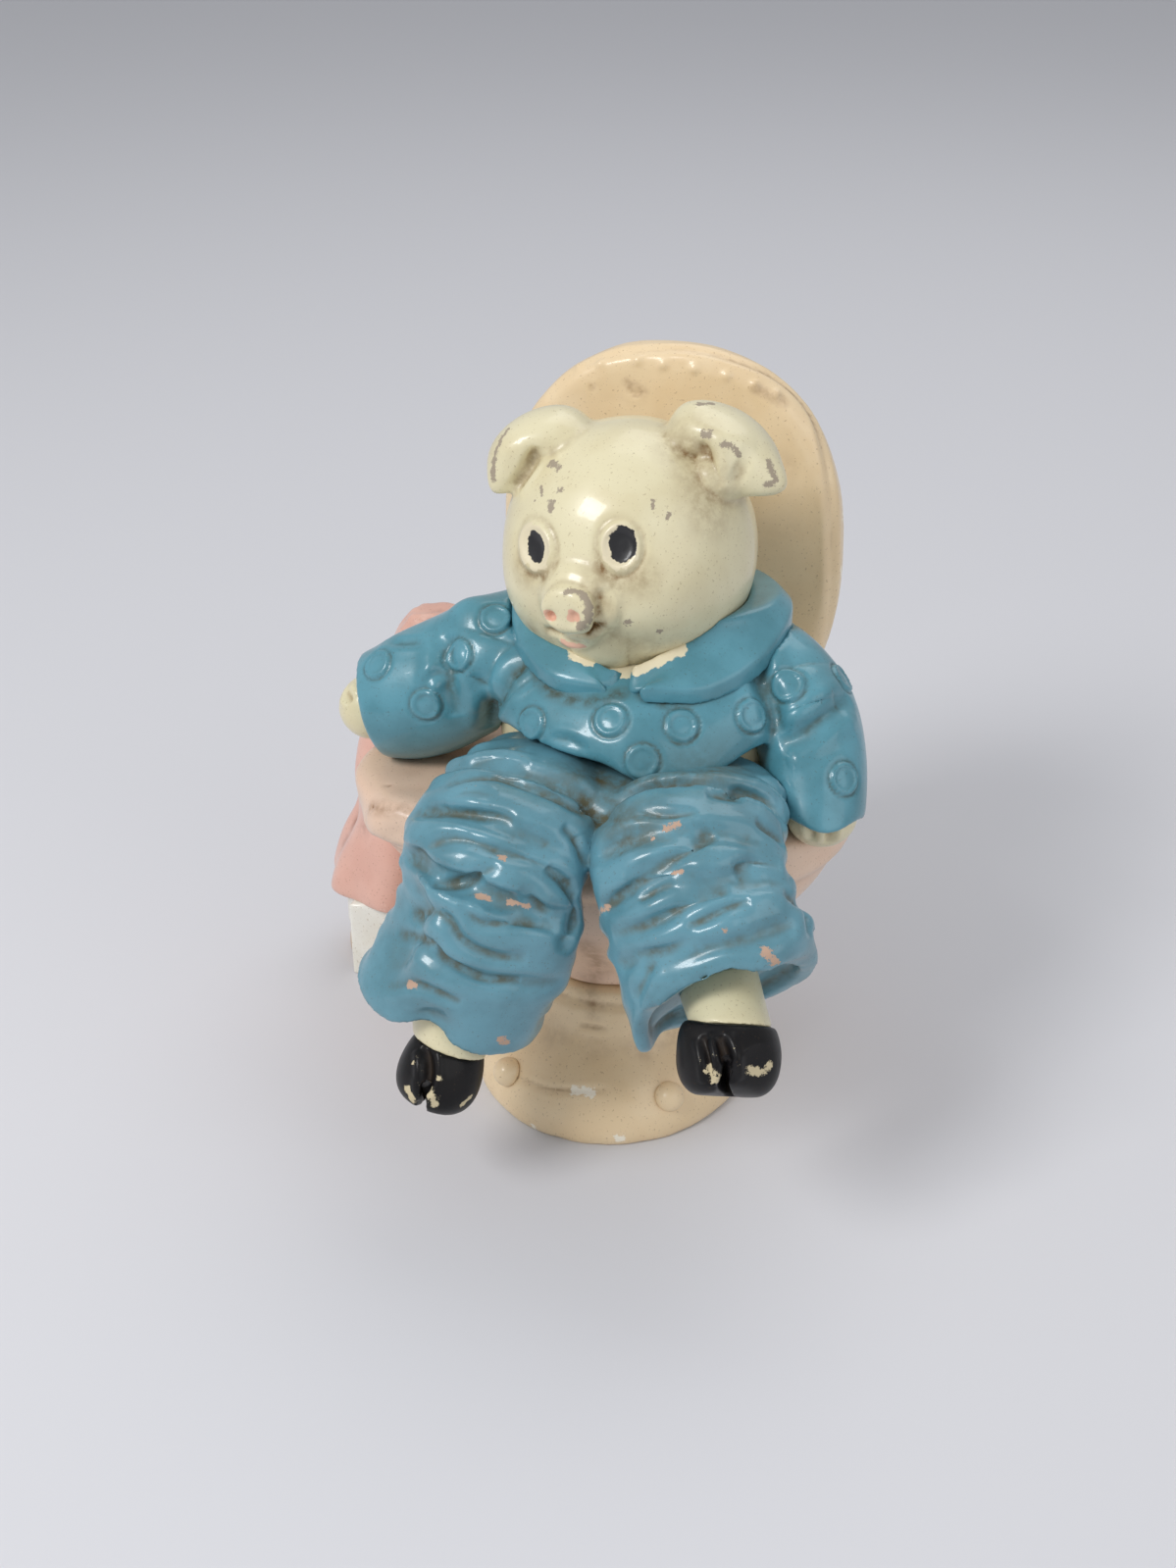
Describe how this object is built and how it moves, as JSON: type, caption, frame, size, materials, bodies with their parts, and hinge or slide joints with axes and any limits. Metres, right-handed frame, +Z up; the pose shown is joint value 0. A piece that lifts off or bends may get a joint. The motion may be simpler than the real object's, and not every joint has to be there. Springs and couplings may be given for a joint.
{
  "type": "pig figurine",
  "caption": "Cast resin figurine of a pig in dotted pyjamas sitting on a toilet with its lid up, beside a small stand with a paper roll and a towel",
  "frame": {"origin": "centre of the flat underside of the toilet's foot", "axes": "+Z up, the pig faces -Y, its right hand is on the -X side"},
  "size_m": [0.1116, 0.1079, 0.1285],
  "materials": {
    "peach_glaze": "varnished hand-painted resin",
    "skin_paint": "varnished hand-painted resin",
    "blue_cloth_paint": "varnished hand-painted resin, worn",
    "hoof_black": "varnished hand-painted resin, worn",
    "towel_pink": "varnished hand-painted resin",
    "paper_white": "varnished hand-painted resin",
    "stand_tan": "varnished hand-painted resin"
  },
  "bodies": {
    "root": {"toilet_foot": "peach_glaze", "foot_bolt_caps": "peach_glaze", "toilet_bowl": "peach_glaze", "toilet_seat": "peach_glaze", "toilet_lid": "peach_glaze", "lid_hinges": "peach_glaze", "hips": "skin_paint", "head": "skin_paint", "snout": "skin_paint", "ear_right": "skin_paint", "ear_left": "skin_paint", "hand_right": "skin_paint", "hand_left": "skin_paint", "ankle_right": "skin_paint", "ankle_left": "skin_paint", "trouser_leg_right": "blue_cloth_paint", "trouser_leg_left": "blue_cloth_paint", "jacket": "blue_cloth_paint", "sleeve_right": "blue_cloth_paint", "sleeve_left": "blue_cloth_paint", "collar_right": "blue_cloth_paint", "collar_left": "blue_cloth_paint", "hoof_right": "hoof_black", "hoof_left": "hoof_black", "stand_foot": "stand_tan", "paper_roll": "paper_white", "towel": "towel_pink"}
  },
  "joints": []
}
